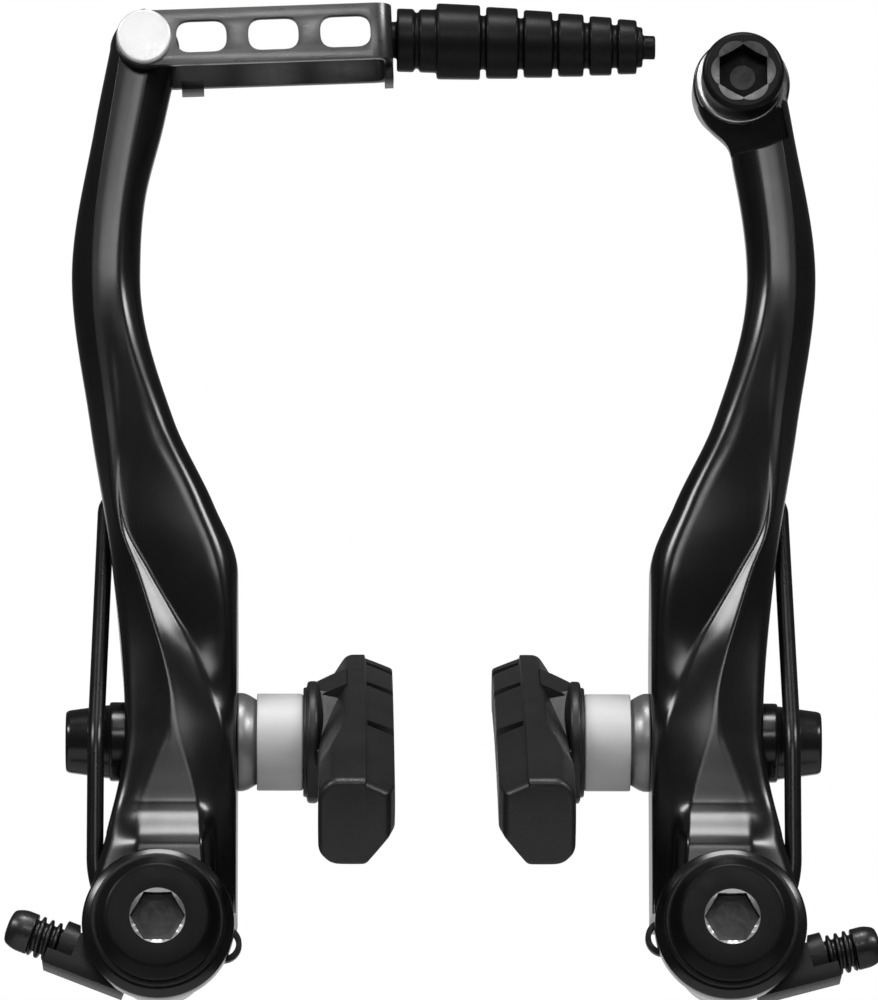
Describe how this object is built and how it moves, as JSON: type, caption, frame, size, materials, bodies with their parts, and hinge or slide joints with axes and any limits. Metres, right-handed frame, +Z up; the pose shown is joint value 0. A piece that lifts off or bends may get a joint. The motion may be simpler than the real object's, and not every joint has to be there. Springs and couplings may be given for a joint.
{
  "type": "v brake",
  "caption": "Linear-pull bicycle brake: bowed black arms on pivot bushes, with slanted shoes on ball washers, return springs, and a slotted cable link with a bellows boot",
  "frame": {"origin": "midway between the two pivot axes, in the plane where the bushes seat on the bicycle frame", "axes": "X across the wheel to the viewer's right, Y from the viewer towards the bicycle frame, Z up along the arms"},
  "size_m": [0.1086, 0.0639, 0.1287],
  "materials": {
    "arm_paint": "gloss black paint on forged aluminium",
    "bush_steel": "plain turned steel",
    "black_plastic": "moulded black plastic",
    "dark_steel": "satin black plated steel",
    "grey_washer": "grey satin steel",
    "silver_washer": "bright satin aluminium",
    "black_nut": "gloss black plated steel",
    "pad_rubber": "matt charcoal friction rubber",
    "spring_wire": "black spring wire",
    "screw_steel": "dark plated steel",
    "link_steel": "satin grey steel sheet",
    "bright_rivet": "bright satin rivet",
    "boot_rubber": "soft black rubber",
    "plated_washer": "bright plated steel"
  },
  "bodies": {
    "pivots": {"left_pivot_bush": "bush_steel", "left_dust_washer": "black_plastic", "left_fixing_bolt": "dark_steel", "left_return_spring": "spring_wire", "left_spring_holder": "black_plastic", "right_pivot_bush": "bush_steel", "right_dust_washer": "black_plastic", "right_fixing_bolt": "dark_steel", "right_return_spring": "spring_wire", "right_spring_holder": "black_plastic"},
    "left_arm": {"left_arm": "arm_paint", "link_rivet": "bright_rivet", "link_washer": "black_plastic", "left_inner_dome_washer": "grey_washer", "left_inner_cup_washer": "silver_washer", "left_outer_dome_washer": "grey_washer", "left_outer_cup_washer": "silver_washer", "left_shoe_nut": "black_nut", "left_shoe_post": "bush_steel", "left_shoe_pad": "pad_rubber"},
    "right_arm": {"right_arm": "arm_paint", "cable_bolt": "dark_steel", "cable_washer": "plated_washer", "right_inner_dome_washer": "grey_washer", "right_inner_cup_washer": "silver_washer", "right_outer_dome_washer": "grey_washer", "right_outer_cup_washer": "silver_washer", "right_shoe_nut": "black_nut", "right_shoe_post": "bush_steel", "right_shoe_pad": "pad_rubber"},
    "cable_link": {"link_holder": "link_steel", "cable_boot": "boot_rubber"},
    "left_adjuster": {"left_adjuster_screw": "screw_steel"},
    "right_adjuster": {"right_adjuster_screw": "screw_steel"}
  },
  "joints": [
    {"name": "left_arm_swing", "type": "hinge", "parent": "pivots", "child": "left_arm", "pos_m": [-0.0353, 0, 0], "axis": [0, 1, 0], "range_deg": [-25, 0], "stiffness_Nm_per_rad": 0.6, "springref_deg": -34.38, "deforming": ["left_return_spring"]},
    {"name": "right_arm_swing", "type": "hinge", "parent": "pivots", "child": "right_arm", "pos_m": [0.0353, 0, 0], "axis": [0, -1, 0], "range_deg": [-25, 0], "stiffness_Nm_per_rad": 0.6, "springref_deg": -34.38, "deforming": ["right_return_spring"]},
    {"name": "link_pivot", "type": "hinge", "parent": "left_arm", "child": "cable_link", "pos_m": [-0.0377, 0, 0.1132], "axis": [0, -1, 0], "range_deg": [-12, 100]},
    {"name": "left_adjuster_turn", "type": "hinge", "parent": "pivots", "child": "left_adjuster", "pos_m": [-0.05052, -0.0174, -0.00053], "axis": [-0.9323, 0, 0.3616], "range_deg": [-720, 720]},
    {"name": "right_adjuster_turn", "type": "hinge", "parent": "pivots", "child": "right_adjuster", "pos_m": [0.05037, -0.0174, -0.00222], "axis": [0.9668, 0, 0.2554], "range_deg": [-720, 720]}
  ]
}
